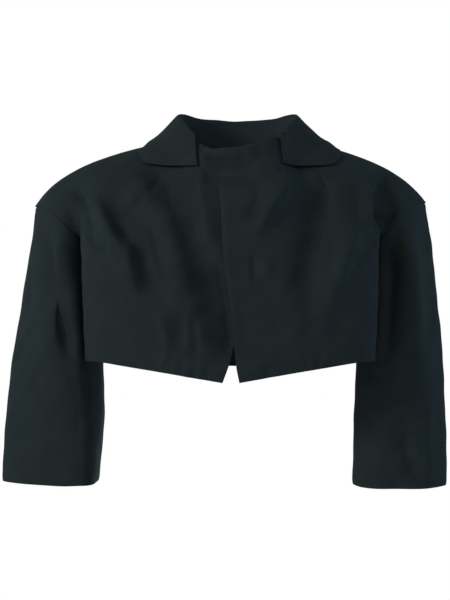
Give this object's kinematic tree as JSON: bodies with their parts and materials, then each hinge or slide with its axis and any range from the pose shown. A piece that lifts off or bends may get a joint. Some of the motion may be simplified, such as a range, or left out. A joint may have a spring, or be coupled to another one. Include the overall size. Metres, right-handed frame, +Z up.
{
  "type": "cropped blazer",
  "caption": "Cropped open-front blazer with a turned-down collar, dropped shoulders and wide elbow-length sleeves, in the hollow form it has when worn.",
  "frame": {"origin": "between the shoulders, at the height where the shoulder seams rest on the wearer", "axes": "+X to the wearer's left, +Y to the wearer's back, +Z up; the fronts face -Y"},
  "size_m": [0.5715, 0.2397, 0.474],
  "materials": {
    "cloth": "matte teal-black suiting with a fine weave and a soft sheen"
  },
  "bodies": {
    "root": {"front_left": "cloth", "front_right": "cloth", "back": "cloth", "sleeve_left": "cloth", "sleeve_right": "cloth", "collar": "cloth"}
  },
  "joints": []
}
